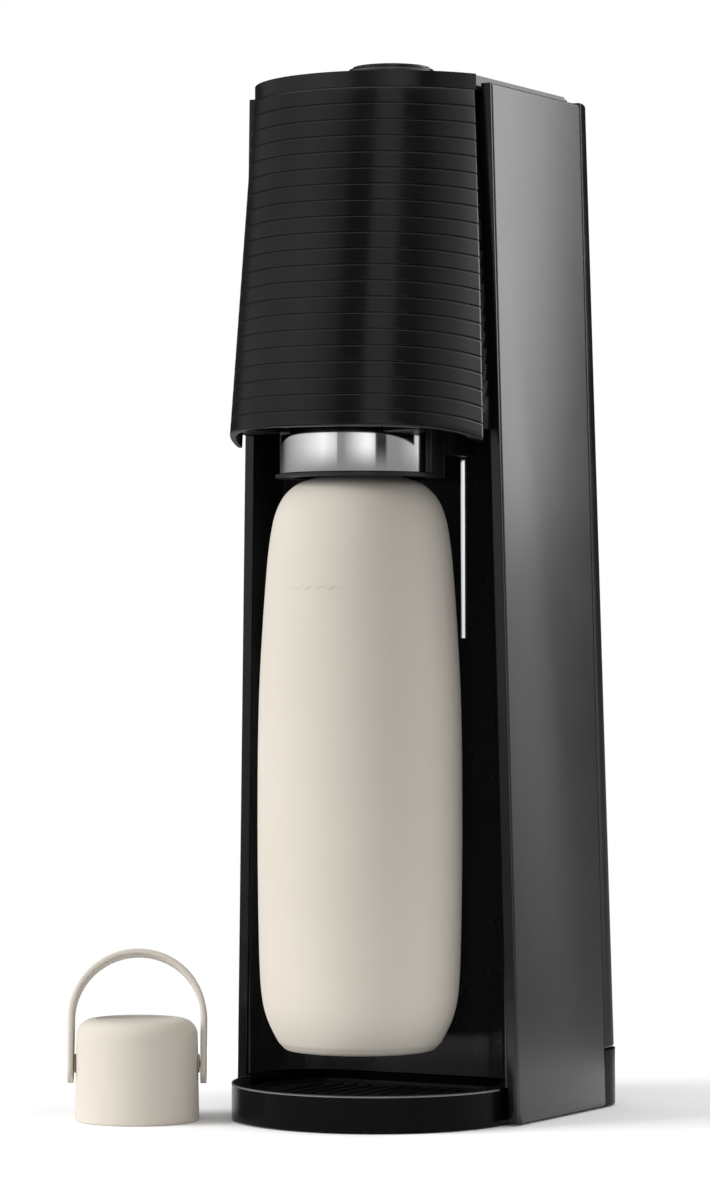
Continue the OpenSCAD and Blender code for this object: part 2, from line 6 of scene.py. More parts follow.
import bmesh
import bpy
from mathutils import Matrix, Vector

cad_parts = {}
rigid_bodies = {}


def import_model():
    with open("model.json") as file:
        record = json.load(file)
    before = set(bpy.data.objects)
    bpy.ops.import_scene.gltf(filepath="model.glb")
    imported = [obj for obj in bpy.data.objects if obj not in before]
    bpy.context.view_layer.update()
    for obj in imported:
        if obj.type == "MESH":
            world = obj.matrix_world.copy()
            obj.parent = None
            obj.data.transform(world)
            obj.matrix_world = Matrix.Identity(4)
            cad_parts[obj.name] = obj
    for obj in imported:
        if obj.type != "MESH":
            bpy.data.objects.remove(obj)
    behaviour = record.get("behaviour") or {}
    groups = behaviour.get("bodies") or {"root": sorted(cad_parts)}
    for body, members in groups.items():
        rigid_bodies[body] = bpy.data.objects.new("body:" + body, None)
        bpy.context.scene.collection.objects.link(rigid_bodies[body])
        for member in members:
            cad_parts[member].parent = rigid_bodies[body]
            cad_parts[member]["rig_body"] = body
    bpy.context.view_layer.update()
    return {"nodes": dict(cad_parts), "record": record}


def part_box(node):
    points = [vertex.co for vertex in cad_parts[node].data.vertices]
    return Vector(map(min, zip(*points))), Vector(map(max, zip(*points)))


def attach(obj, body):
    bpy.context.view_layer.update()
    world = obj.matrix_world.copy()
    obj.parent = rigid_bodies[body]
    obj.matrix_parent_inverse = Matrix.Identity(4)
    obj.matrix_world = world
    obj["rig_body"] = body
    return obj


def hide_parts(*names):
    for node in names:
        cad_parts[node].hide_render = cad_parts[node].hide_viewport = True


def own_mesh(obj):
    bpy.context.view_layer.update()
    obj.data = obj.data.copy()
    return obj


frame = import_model()

MM = 0.001
NODES = frame["nodes"]
MERGE = 1e-6                                           # points closer than this, in metres, are one
FLAT_ANGLE = math.radians(0.4)                         # faces that turn by less than this are one flat face
COAT_ROUGHNESS = 0.05


# ---------------------------------------------------------------- materials

def new_material(name, colour, roughness, metallic=0.0, coat=0.0, specular=0.5, sheen=0.0):
    """A Principled material with its constant values on the shader's own sockets."""
    mat = bpy.data.materials.new(name)
    mat.use_nodes = True
    shader = mat.node_tree.nodes["Principled BSDF"]
    shader.inputs["Base Color"].default_value = (*colour, 1)
    shader.inputs["Roughness"].default_value = roughness
    shader.inputs["Metallic"].default_value = metallic
    shader.inputs["Coat Weight"].default_value = coat
    shader.inputs["Coat Roughness"].default_value = COAT_ROUGHNESS
    shader.inputs["Specular IOR Level"].default_value = specular
    shader.inputs["Sheen Weight"].default_value = sheen
    return mat, shader


def add(mat, kind, **values):
    """A node in the material's tree; values set its attributes or, for input names, its sockets."""
    node = mat.node_tree.nodes.new(kind)
    for key, value in values.items():
        if key in node.inputs:
            node.inputs[key].default_value = value
        else:
            setattr(node, key, value)
    return node


def noise(mat, scale, detail=3.0, rough=0.5, stretch=(1, 1, 1)):
    """Noise over the object's own metres, so its grain has a real size and rides with the piece."""
    where = add(mat, "ShaderNodeTexCoord")
    mapping = add(mat, "ShaderNodeMapping")
    mapping.inputs["Scale"].default_value = stretch
    tex = add(mat, "ShaderNodeTexNoise", Scale=scale, Detail=detail, Roughness=rough)
    link = mat.node_tree.links.new
    link(where.outputs["Object"], mapping.inputs["Vector"])
    link(mapping.outputs["Vector"], tex.inputs["Vector"])
    return tex.outputs["Fac"]


def ramp(mat, factor, low, high, start=0.3, end=0.7):
    """Maps a factor to a colour or a grey between low and high."""
    node = add(mat, "ShaderNodeValToRGB")
    node.color_ramp.elements[0].position = start
    node.color_ramp.elements[1].position = end
    as_colour = lambda v: (*v, 1) if isinstance(v, tuple) else (v, v, v, 1)
    node.color_ramp.elements[0].color = as_colour(low)
    node.color_ramp.elements[1].color = as_colour(high)
    mat.node_tree.links.new(factor, node.inputs["Fac"])
    return node.outputs["Color"]


def bump(mat, shader, height, strength, depth):
    """Adds a bump of a real depth in metres."""
    node = add(mat, "ShaderNodeBump", Strength=strength, Distance=depth)
    mat.node_tree.links.new(height, node.inputs["Height"])
    mat.node_tree.links.new(node.outputs["Normal"], shader.inputs["Normal"])
    return node


def varied(mat, shader, colour_low, colour_high, rough_low, rough_high, scale):
    """Slow variation of colour and gloss, as on handled or moulded plastic."""
    slow = noise(mat, scale, 4, 0.6)
    link = mat.node_tree.links.new
    link(ramp(mat, slow, colour_low, colour_high), shader.inputs["Base Color"])
    link(ramp(mat, slow, rough_low, rough_high), shader.inputs["Roughness"])


def gloss_black():
    mat, shader = new_material("gloss_black", (0.004, 0.004, 0.0042), 0.17, specular=0.4)
    varied(mat, shader, (0.003, 0.003, 0.0032), (0.005, 0.005, 0.0052), 0.14, 0.21, 30)
    bump(mat, shader, noise(mat, 160, 1), 0.08, 0.0002)
    return mat


def base_black():
    mat, shader = new_material("base_black", (0.002, 0.002, 0.0021), 0.24, specular=0.05)
    varied(mat, shader, (0.0016, 0.0016, 0.0017), (0.0024, 0.0024, 0.0025), 0.2, 0.28, 30)
    bump(mat, shader, noise(mat, 160, 1), 0.08, 0.0002)
    return mat


def satin_black():
    mat, shader = new_material("satin_black", (0.014, 0.014, 0.015), 0.25, specular=0.6)
    varied(mat, shader, (0.011, 0.011, 0.012), (0.016, 0.016, 0.017), 0.23, 0.27, 18)
    bump(mat, shader, noise(mat, 2600, 2), 0.06, 0.00006)
    return mat


def inner_black():
    mat, shader = new_material("inner_black", (0.012, 0.012, 0.013), 0.34)
    varied(mat, shader, (0.008, 0.008, 0.009), (0.014, 0.014, 0.015), 0.3, 0.42, 25)
    bump(mat, shader, noise(mat, 1800, 2), 0.15, 0.0001)
    return mat


def bay_gloss_painted_fill():
    # black plastic lightened over the other blacks to make up for the little light inside the bottle bay:
    # painted fill light
    mat, shader = new_material("bay_gloss_painted_fill", (0.022, 0.022, 0.023), 0.26, specular=0.5)
    varied(mat, shader, (0.02, 0.02, 0.021), (0.024, 0.024, 0.025), 0.22, 0.3, 22)
    bump(mat, shader, noise(mat, 120, 1), 0.05, 0.0002)
    return mat


def grey_plastic():
    mat, shader = new_material("grey_plastic", (0.12, 0.125, 0.13), 0.42)
    varied(mat, shader, (0.1, 0.105, 0.11), (0.13, 0.135, 0.14), 0.36, 0.48, 40)
    bump(mat, shader, noise(mat, 1500, 2), 0.2, 0.0001)
    return mat


def soft_cream():
    mat, shader = new_material("soft_cream", (0.475, 0.44, 0.385), 0.55, sheen=0.1, specular=0.3)
    varied(mat, shader, (0.465, 0.43, 0.375), (0.485, 0.45, 0.395), 0.5, 0.6, 14)
    bump(mat, shader, noise(mat, 3200, 2), 0.03, 0.00006)
    return mat


def chrome():
    mat, shader = new_material("chrome", (0.95, 0.955, 0.96), 0.06, metallic=1.0)
    link = mat.node_tree.links.new
    link(ramp(mat, noise(mat, 60, 3), 0.04, 0.1), shader.inputs["Roughness"])
    bump(mat, shader, noise(mat, 900, 2, stretch=(1, 1, 0.05)), 0.02, 0.00003)
    return mat


def steel():
    mat, shader = new_material("steel", (0.56, 0.57, 0.58), 0.3, metallic=1.0)
    link = mat.node_tree.links.new
    link(ramp(mat, noise(mat, 400, 3, stretch=(1, 1, 0.04)), 0.22, 0.4), shader.inputs["Roughness"])
    bump(mat, shader, noise(mat, 1500, 2, stretch=(1, 1, 0.03)), 0.1, 0.00004)
    return mat


def brass():
    mat, shader = new_material("brass", (0.62, 0.45, 0.18), 0.28, metallic=1.0)
    varied(mat, shader, (0.55, 0.39, 0.15), (0.66, 0.49, 0.21), 0.22, 0.36, 60)
    bump(mat, shader, noise(mat, 1200, 2), 0.08, 0.00004)
    return mat


def rubber():
    mat, shader = new_material("rubber", (0.02, 0.02, 0.02), 0.75, specular=0.3)
    varied(mat, shader, (0.016, 0.016, 0.016), (0.026, 0.026, 0.026), 0.68, 0.85, 50)
    bump(mat, shader, noise(mat, 2400, 3), 0.4, 0.0001)
    return mat


def cylinder_paint():
    mat, shader = new_material("cylinder_paint", (0.42, 0.44, 0.46), 0.35, metallic=0.3, coat=0.3)
    varied(mat, shader, (0.38, 0.4, 0.42), (0.44, 0.46, 0.48), 0.3, 0.42, 30)
    bump(mat, shader, noise(mat, 700, 2), 0.1, 0.00008)
    return mat


def tan_pad():
    mat, shader = new_material("tan_pad", (0.42, 0.33, 0.25), 0.5)
    varied(mat, shader, (0.38, 0.3, 0.22), (0.45, 0.36, 0.28), 0.45, 0.58, 90)
    bump(mat, shader, noise(mat, 2200, 2), 0.15, 0.00006)
    return mat


def floor_paper():
    mat, shader = new_material("floor_paper", (0.9, 0.9, 0.9), 0.7, specular=0.3)
    varied(mat, shader, (0.895, 0.895, 0.895), (0.905, 0.905, 0.905), 0.66, 0.74, 2)
    return mat


MAT = {make.__name__: make() for make in (
    gloss_black, base_black, satin_black, inner_black, bay_gloss_painted_fill, grey_plastic, soft_cream,
    chrome, steel, brass, rubber, cylinder_paint, tan_pad, floor_paper)}
LOOK_OF_SLOT = {"black_gloss": "gloss_black", "black_satin": "satin_black", "inner_plastic": "inner_black",
                "lever_plastic": "grey_plastic", "bottle_cream": "soft_cream", "chrome": "chrome",
                "steel": "steel", "brass": "brass", "rubber": "rubber", "cylinder_paint": "cylinder_paint"}


# ---------------------------------------------------------------- mesh helpers

def circle_angles(count):
    """Evenly spaced angles around a full turn."""
    return [2 * math.pi * k / count for k in range(count)]


def piece(name, verts, faces, look, body, replaces=(), sharp=40):
    """A closed mesh that rides on a CAD body and stands for the CAD nodes named."""
    mesh = bpy.data.meshes.new(name)
    mesh.from_pydata([tuple(v) for v in verts], [], faces)
    bm = bmesh.new()
    bm.from_mesh(mesh)
    bmesh.ops.remove_doubles(bm, verts=bm.verts, dist=MERGE)
    bmesh.ops.recalc_face_normals(bm, faces=bm.faces)
    bm.to_mesh(mesh)
    bm.free()
    return place(name, mesh, look, body, replaces, sharp)


def place(name, mesh, look, body, replaces=(), sharp=40):
    """Puts a mesh in the scene with its look and body, smooth but for edges over the sharp angle."""
    obj = bpy.data.objects.new(name, mesh)
    bpy.context.scene.collection.objects.link(obj)
    mesh.materials.clear()
    mesh.materials.append(MAT[look])
    mesh.shade_smooth()
    mesh.set_sharp_from_angle(angle=math.radians(sharp))
    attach(obj, body)
    if replaces:
        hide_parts(*replaces)
    return obj


def grid_faces(rows, cols, closed_cols):
    """Quads between rows of points, each row with cols points."""
    faces = []
    for i in range(rows - 1):
        for j in range(cols if closed_cols else cols - 1):
            k = (j + 1) % cols
            faces.append((i * cols + j, i * cols + k, (i + 1) * cols + k, (i + 1) * cols + j))
    return faces


def lathe(name, profile, look, body, at=(0, 0), steps=128, replaces=(), sharp=40, arc=None):
    """Turns a profile of (radius, height) pairs in mm about an upright axis; arc limits it to two angles."""
    closed = arc is None
    angles = circle_angles(steps) if closed else [
        math.radians(arc[0] + (arc[1] - arc[0]) * i / steps) for i in range(steps + 1)]
    verts = [(at[0] + r * MM * math.sin(a), at[1] - r * MM * math.cos(a), z * MM)
             for r, z in profile for a in angles]
    cols = len(angles)
    faces = grid_faces(len(profile), cols, closed)
    ring = profile[0] == profile[-1]
    if not closed and ring:
        rows = len(profile) - 1
        faces.append(tuple(i * cols for i in range(rows)))
        faces.append(tuple(i * cols + cols - 1 for i in reversed(range(rows))))
    if closed and not ring:
        if profile[0][0] > 0:
            faces.append(tuple(range(cols)))
        if profile[-1][0] > 0:
            faces.append(tuple((len(profile) - 1) * cols + j for j in reversed(range(cols))))
    return piece(name, verts, faces, look, body, replaces, sharp=sharp)


def rounded(points, radius, steps=5, closed=True):
    """Replaces each corner of an outline with an arc; radius is one number or one for each corner."""
    most = 0.49                                        # an arc takes at most this share of a side
    out, n = [], len(points)
    for i, p in enumerate(points):
        r = radius[i] if isinstance(radius, (list, tuple)) else radius
        if r <= 0 or (not closed and i in (0, n - 1)):
            out.append(tuple(p))
            continue
        p, a, b = Vector(p), Vector(points[i - 1]), Vector(points[(i + 1) % n])
        u, v = (a - p).normalized(), (b - p).normalized()
        half = u.angle(v) / 2
        cut = min(r / math.tan(half), most * (a - p).length, most * (b - p).length)
        centre = p + (u + v).normalized() * cut / math.cos(half)
        start, end = p + u * cut - centre, p + v * cut - centre
        for k in range(steps + 1):
            t = k / steps
            w = start.lerp(end, t)
            out.append(tuple(centre + w.normalized() * (start.length * (1 - t) + end.length * t)))
    return out


def smooth_curve(points, steps=6):
    """A Catmull-Rom curve through the points."""
    pts = [Vector(p) for p in points]
    pts = [2 * pts[0] - pts[1], *pts, 2 * pts[-1] - pts[-2]]
    out = []
    for i in range(1, len(pts) - 2):
        a, b, c, d = pts[i - 1:i + 3]
        for k in range(steps):
            t = k / steps
            out.append(tuple(0.5 * (2 * b + (c - a) * t + (2 * a - 5 * b + 4 * c - d) * t ** 2
                                    + (3 * b - a - 3 * c + d) * t ** 3)))
    out.append(tuple(pts[-2]))
    return out


def loft(name, rings, look, body, replaces=(), sharp=40):
    """Joins closed rings that all have the same number of points, and closes both ends."""
    cols = len(rings[0])
    verts = [p for ring in rings for p in ring]
    faces = grid_faces(len(rings), cols, True)
    faces.append(tuple(range(cols)))
    faces.append(tuple((len(rings) - 1) * cols + j for j in reversed(range(cols))))
    return piece(name, verts, faces, look, body, replaces, sharp=sharp)


def bevelled(node, look, width, segments, sharp=35):
    """A copy of a CAD node with its edges rounded, which stands for the node."""
    mesh = NODES[node].data.copy()
    bm = bmesh.new()
    bm.from_mesh(mesh)
    bmesh.ops.remove_doubles(bm, verts=bm.verts, dist=MERGE)
    bmesh.ops.dissolve_limit(bm, angle_limit=FLAT_ANGLE, verts=bm.verts, edges=bm.edges)
    bm.to_mesh(mesh)
    bm.free()
    obj = place(node + "_moulded", mesh, look, NODES[node]["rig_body"], (node,), sharp)
    edge = obj.modifiers.new("rounding", "BEVEL")
    edge.width = width * MM
    edge.segments = segments
    edge.limit_method = "ANGLE"
    edge.angle_limit = math.radians(sharp)
    edge.harden_normals = True
    edge.use_clamp_overlap = True


def box_mm(node):
    """The low and high corners of a CAD node's box, in mm."""
    low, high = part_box(node)
    return low / MM, high / MM


# ---------------------------------------------------------------- sizes read from the frame, in mm

panel_low, panel_high = box_mm("right_side_panel")
cover_low, cover_high = box_mm("head_cover")
plate_high = box_mm("top_plate")[1]
base_low = box_mm("base_shell")[0]
collar_low, collar_high = box_mm("collar_trim")
cap_low, cap_high = box_mm("cap_shell")
pins_low, pins_high = box_mm("bail_pins")
button_low, button_high = box_mm("carbonation_button")
ring_low, ring_high = box_mm("button_cap_ring")

HEAD_Z = cover_low.z
HEAD_TOP = plate_high.z
HEAD_R = 59.2                                          # the head's round front, below and on top
HEAD_Y = cover_low.y + HEAD_R
HEAD_R_TOP = 56.0
HEAD_Y_TOP = 26.5
COVER_EDGE, COVER_EDGE_TOP = -1.0, 3.7                 # depth at which the cover's side edges end
RIBS = 22
RIB_DIP = 5.2                                          # how far the lowest groove falls at the cover's edge
DIP_START, DIP_LENGTH = 4, 42                          # where the fall begins behind the front, and its run
COVER_EDGE_ROUND = 1.1


# ---------------------------------------------------------------- head

def head_circle(z):
    """Radius and centre of the head's round front at a height."""
    t = (z - HEAD_Z) / (HEAD_TOP - HEAD_Z)
    return HEAD_R + (HEAD_R_TOP - HEAD_R) * t, HEAD_Y + (HEAD_Y_TOP - HEAD_Y) * t


def make_head_cover():
    """The ribbed shell: ribs with rounded grooves that dip towards the cover's two side edges."""
    top = cover_high.z
    rib = (HEAD_TOP - HEAD_Z) / RIBS
    depth, wall, lip = 0.6, 2.5, 1.1
    # each groove from its lower edge, which is eased and catches the light, to its sharper upper edge
    groove = ((-0.95, 0.0), (-0.72, 0.0), (-0.52, 0.03), (-0.4, 0.11), (-0.32, 0.24), (-0.28, depth),
              (0.18, depth), (0.2, 0.1), (0.24, 0.02), (0.32, 0.0), (0.55, 0.0))
    # outer profile as (height, how far inside the outer surface)
    outer = [(HEAD_Z + lip - lip * math.cos(a), lip - lip * math.sin(a))
             for a in [math.radians(11.25 * k) for k in range(9)]]
    for i in range(1, RIBS):
        z = HEAD_Z + rib * i
        if z > top - 1:
            break
        outer += [(z - rib / 2, 0.0)] + [(z + dz, inset) for dz, inset in groove]
    outer += [(top - 0.8, 0.0), (top - 0.25, 0.12), (top, 0.4)]
    inner = [(top, wall), ((top + HEAD_Z) / 2, wall), (HEAD_Z, wall)]
    profile = outer + inner
    cols, verts = 150, []
    for z, inset in profile:
        r, yc = head_circle(z)
        t = (z - HEAD_Z) / (HEAD_TOP - HEAD_Z)
        edge = COVER_EDGE + (COVER_EDGE_TOP - COVER_EDGE) * t
        last = math.acos((yc - edge) / r)
        for j in range(cols + 1):
            s = -1 + 2 * j / cols
            a = last * s
            # the side edges are rounded over
            end = min(1.0, (1 - abs(s)) * last * r / COVER_EDGE_ROUND)
            over = 1 - math.sqrt(max(0.0, 1 - (1 - end) ** 2)) if inset < wall else 0.0
            rr = r - max(inset, min(over, wall)) if over else r - inset
            y = yc - rr * math.cos(a)
            dip = RIB_DIP * (1 - t) * max(0.0, (y - cover_low.y - DIP_START) / DIP_LENGTH) ** 2
            verts.append((rr * math.sin(a) * MM, y * MM, (z - dip if z < top - 1 else z) * MM))
    rows, width = len(profile), cols + 1
    faces = grid_faces(rows, width, False)
    faces += [((rows - 1) * width + j, (rows - 1) * width + j + 1, j + 1, j) for j in range(cols)]
    faces.append(tuple(i * width for i in reversed(range(rows))))
    faces.append(tuple(i * width + cols for i in range(rows)))
    piece("ribbed_head_cover", verts, faces, "gloss_black", "frame", ("head_cover",), sharp=50)


def make_button():
    """The press button: a shallow dish, a stepped edge and the darker ring around it."""
    top, x, y = button_high.z, 0.0, (button_low.y + button_high.y) / 2 * MM
    r = (ring_high.x - ring_low.x) / 2
    profile = [(0, top - 0.9), (r * 0.4, top - 0.75), (r - 5.5, top - 0.35), (r - 4.2, top),
               (r - 3.4, top - 0.1), (r - 3.0, top - 0.5), (r - 2.9, top - 1.1), (r - 2.0, top - 1.2),
               (r - 1.6, top - 1.7),
               (r - 1.5, top - 8.4), (0, top - 8.4)]
    lathe("carbonation_button_top", profile, "gloss_black", "button", (x, y), sharp=60)
    ring = [(r - 1.4, ring_low.z), (r - 0.3, ring_low.z), (r, ring_low.z + 0.4), (r, ring_high.z - 0.7),
            (r - 0.25, ring_high.z - 0.15), (r - 0.7, ring_high.z), (r - 1.15, ring_high.z - 0.15),
            (r - 1.35, ring_high.z - 0.6), (r - 1.4, ring_low.z)]
    lathe("button_outer_ring", ring, "satin_black", "button", (x, y), replaces=("button_cap_ring",),
          sharp=60)


def make_spring():
    """The button's return spring, a copy of the CAD coil on the frame with a mesh of its own."""
    spring = place("button_spring_coil", NODES["button_spring"].data.copy(), "steel", "frame",
                   ("button_spring",), sharp=50)
    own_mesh(spring)


# ---------------------------------------------------------------- bottle and collar

# (radius, height) pairs in mm, from the middle of the base to the foot of the neck
BOTTLE_PROFILE = [(0, 31.6), (20, 31.2), (23, 30.6), (25.5, 29.4),
                  (28, 29), (30.2, 29.6), (32, 31.3), (33.6, 33.4),
                  (37.3, 41), (39.5, 49.2), (40.6, 62), (41.2, 86),
                  (41.5, 120), (41.3, 155), (40.6, 180), (39.1, 206),
                  (37.4, 228), (35.8, 240), (34.2, 246.5), (32, 251.5),
                  (29, 255.4), (25, 258.4), (19, 260.6), (15.2, 262), (14.3, 264)]


def make_bottle():
    """The bottle as one hollow wall: base, side, shoulder, neck, and back down the inside."""
    outside = smooth_curve([(r, z) for r, z in BOTTLE_PROFILE[4:-1]], 5)
    neck = [(14.2, 264.4), (13.7, 265.2), (13.6, 276), (13.6, 280.2), (13.2, 280.9), (12.7, 281),
            (12.1, 280.9), (11.8, 280.4), (11.8, 262)]
    wall = 1.5
    inside = [(max(r - wall, 0), z - 0.2) for r, z in reversed(BOTTLE_PROFILE[7:-3])]
    inside += [(30, 33), (22, 32.8), (0, 33)]
    lathe("bottle_body", BOTTLE_PROFILE[:4] + outside + neck + inside, "soft_cream", "bottle",
          replaces=("bottle_shell",), steps=160, sharp=55)


def bottle_radius(z):
    """The bottle's outer radius at a height."""
    pts = BOTTLE_PROFILE[4:]
    for (r0, z0), (r1, z1) in zip(pts, pts[1:]):
        if z0 <= z <= z1:
            return r0 + (r1 - r0) * (z - z0) / (z1 - z0)
    return pts[-1][0]


def make_fill_line():
    """The raised wavy line on the bottle that shows how far to fill it."""
    z_mid, half_turn, middle, waves, rise, steps, sides = 216.0, 19.0, 0.5, 5, 0.55, 140, 8
    bead, sunk, thinnest, taper_rate = 0.32, 0.05, 0.15, 12
    rings = []
    for i in range(steps + 1):
        s = i / steps
        a = math.radians(middle + half_turn * (2 * s - 1))
        z = z_mid + rise * math.sin(2 * math.pi * waves * s)
        r = bead * max(thinnest, min(1.0, taper_rate * s, taper_rate * (1 - s)))
        ring = []
        for b in circle_angles(sides):
            out = bottle_radius(z) - sunk + r * math.cos(b)
            ring.append((out * math.sin(a) * MM, -out * math.cos(a) * MM, (z + r * math.sin(b)) * MM))
        rings.append(ring)
    loft("bottle_fill_line", rings, "soft_cream", "bottle", sharp=70)


COLLAR_HALF = 86                                       # half of the band's wrap in degrees
COLLAR_INNER_R = 32.05


def make_collar():
    """Chrome band around the front of the holder."""
    r = (collar_high.x - collar_low.x) / 2 / math.sin(math.radians(COLLAR_HALF))
    z0, z1 = collar_low.z, collar_high.z
    corners = [(COLLAR_INNER_R, z0), (r, z0), (r, z1), (COLLAR_INNER_R, z1)]
    section = rounded(corners, [0.1, 0.35, 0.35, 0.1], 4)
    lathe("collar_band", section + section[:1], "chrome", "holder", steps=110, replaces=("collar_trim",),
          arc=(-COLLAR_HALF, COLLAR_HALF), sharp=50)


# ---------------------------------------------------------------- cap

CAP_TURN = math.radians(29)                            # how far the cap is turned on the worktop
CAP_SHOULDER = 6.8
BAIL_OUTER, BAIL_THICK, BAIL_HALF_WIDTH = 28.2, 2.4, 5.0
BAIL_PIVOT_Z, BAIL_BOW_Z, BAIL_FOOT_Z = 23.0, 41.4, 15.0
BAIL_LEAN = math.radians(14)


def make_cap():
    """The cap: a dished top, a round shoulder, a slightly tapered side and a hollow underside."""
    centre = ((cap_low.x + cap_high.x) / 2, (cap_low.y + cap_high.y) / 2)
    r, h = (cap_high.x - cap_low.x) / 2, cap_high.z
    mid_r, mid_z = r - 0.6 - CAP_SHOULDER, h - 0.4 - CAP_SHOULDER
    shoulder = [(mid_r + CAP_SHOULDER * math.sin(a), mid_z + CAP_SHOULDER * math.cos(a))
                for a in [math.radians(7.5 * k) for k in range(13)]]
    outside = rounded([(0, h - 1.0), (r - 9.6, h - 0.7), (r - 8.2, h - 0.25)], [0, 2, 0], 6, closed=False)
    side = [(r - 0.5, 30), (r, 2), (r, 0.0), (r - 3, 0.0)]
    outside += shoulder + rounded(side, [0, 3, 0.8, 0], 8, closed=False)
    inside = [(r - 3, 30), (0, 30)]
    lathe("cap_body", outside + inside, "soft_cream", "cap", (centre[0] * MM, centre[1] * MM),
          replaces=("cap_shell",), steps=128, sharp=60)
    return centre


def make_bail(centre):
    """Carrying handle: one band swept up one arm, over the bow and down the other arm."""
    along = Vector((math.cos(CAP_TURN), math.sin(CAP_TURN), 0))
    across = Vector((-math.sin(CAP_TURN), math.cos(CAP_TURN), 0))
    radius, half_thick, arm_steps, bow_steps = BAIL_OUTER - BAIL_THICK / 2, BAIL_THICK / 2, 10, 48
    arm = [BAIL_FOOT_Z + k * (BAIL_BOW_Z - BAIL_FOOT_Z) / arm_steps for k in range(arm_steps + 1)]
    bow = [math.pi - math.pi * k / bow_steps for k in range(1, bow_steps)]
    path = [(-radius, z, math.pi) for z in arm]
    path += [(radius * math.cos(a), BAIL_BOW_Z + radius * math.sin(a), a) for a in bow]
    path += [(radius, z, 0.0) for z in reversed(arm)]
    pivot = Vector((centre[0], centre[1], BAIL_PIVOT_Z))
    rings = []
    for x, z, a in path:
        # the band's end is a half circle seen from the side
        up = min(z - BAIL_FOOT_Z, BAIL_HALF_WIDTH) / BAIL_HALF_WIDTH
        width = BAIL_HALF_WIDTH * math.sqrt(max(0.02, 1 - (1 - up) ** 2))
        corners = [(-half_thick, -width), (half_thick, -width), (half_thick, width), (-half_thick, width)]
        section = rounded(corners, min(0.9, width * 0.4), 4)
        ring = []
        for u, v in section:
            side, rise = x + u * math.cos(a), z + u * math.sin(a) - BAIL_PIVOT_Z
            back = v * math.cos(BAIL_LEAN) + rise * math.sin(BAIL_LEAN)
            height = rise * math.cos(BAIL_LEAN) - v * math.sin(BAIL_LEAN)
            ring.append(tuple((pivot + along * side + across * back + Vector((0, 0, height))) * MM))
        rings.append(ring)
    loft("cap_handle", rings, "soft_cream", "bail", ("bail_handle",), sharp=60)
    return along, across


def make_bail_pads(centre, along, across):
    """Pivot pins with round pads between the handle's arms and the cap."""
    # (radius, distance from the cap's axis) along a pin, from its outer end to its inner end
    profile = ((0.02, 27.1), (1.3, 27.1), (1.5, 26.9), (1.5, 25.4), (3.7, 25.4),
               (3.8, 25.3), (3.8, 24.9), (1.5, 24.9), (1.5, 22.3), (0.02, 22.3))
    axis = Vector((centre[0], centre[1], (pins_low.z + pins_high.z) / 2))
    for side, label in ((-1, "left"), (1, "right")):
        rings = []
        for r, out in profile:
            middle = axis + along * side * out
            rings.append([tuple((middle + across * r * math.cos(b) + Vector((0, 0, r * math.sin(b)))) * MM)
                          for b in circle_angles(32)])
        loft("handle_pivot_" + label, rings, "tan_pad", "cap", ("bail_pins",) if side < 0 else (), sharp=40)


# ---------------------------------------------------------------- column

PANEL_LEAN = math.tan(math.radians(1.29))
PANEL_T = 4.2
PANEL_FRONT_RUN, PANEL_REAR_RUN = 6.0, 5.6             # how far its front and rear edges slope


def panel_front(z):
    """Depth of the panel's front edge at a height."""
    return panel_low.y + PANEL_FRONT_RUN * (panel_high.z - z) / (panel_high.z - panel_low.z)


def panel_rear(z):
    """Depth of the panel's rear edge at a height."""
    return panel_high.y - PANEL_REAR_RUN * (z - panel_low.z) / (panel_high.z - panel_low.z)


def panel_point(side, x, y, z):
    """A point x mm under the outer face of the panel on one side, in metres."""
    return side * (panel_high.x - x - z * PANEL_LEAN) * MM, y * MM, z * MM


def panel_plate(name, side, near, far, front_gap, rear_gap, end_gap, edge, look, stands_for=()):
    """An upright plate between two depths under the panel's outer face, with rounded edges."""
    z0, z1 = panel_low.z + end_gap, panel_high.z - end_gap
    foot_cut, foot_rise = 2.5, 4                       # the front lower corner is cut off
    rings = []
    # (depth under the outer face, inset of the outline): a round outer edge and a small inner chamfer
    for x, inset in ((near, edge), (near + edge * 0.13, edge * 0.5), (near + edge * 0.5, edge * 0.13),
                     (near + edge, 0.0), (far - edge * 0.4, 0.0), (far, edge * 0.4)):
        low, high, front, rear = z0 + inset, z1 - inset, front_gap + inset, rear_gap + inset
        outline = [(panel_front(low) + front + foot_cut, low), (panel_rear(low) - rear, low),
                   (panel_rear(high) - rear, high), (panel_front(high) + front, high),
                   (panel_front(low + foot_rise) + front, low + foot_rise)]
        corners = rounded(outline, [2.0, 1.0, 1.6, 0.8, 2.0], 5)
        rings.append([panel_point(side, x, y, z) for y, z in corners])
    loft(name, rings, look, "frame", stands_for, sharp=50)


